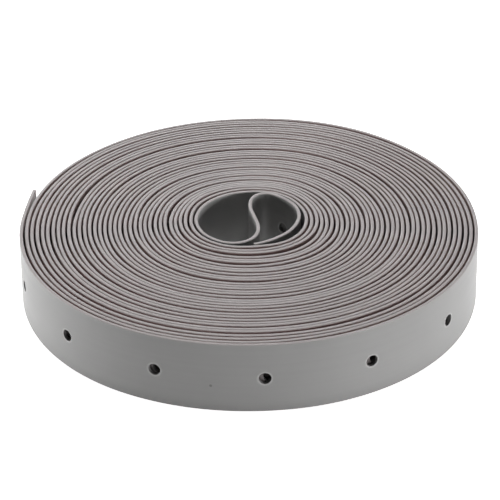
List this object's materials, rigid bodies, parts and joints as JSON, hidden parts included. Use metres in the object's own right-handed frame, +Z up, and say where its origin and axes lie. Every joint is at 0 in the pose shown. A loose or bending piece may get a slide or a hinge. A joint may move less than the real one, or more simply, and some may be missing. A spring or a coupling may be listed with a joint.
{
  "type": "hanger strap roll",
  "caption": "Roll of flat plastic strap with evenly spaced fixing holes, for hanging pipes, cables and ducts.",
  "frame": {"origin": "on the coil's axis, at the face that the coil rests on", "axes": "+Z up along the coil's axis; the outer end of the strap is on the -X side"},
  "size_m": [0.1221, 0.1215, 0.0191],
  "materials": {
    "strap_plastic": "satin moulded surface, mid grey"
  },
  "bodies": {
    "root": {"hanger_strap": "strap_plastic"}
  },
  "joints": []
}
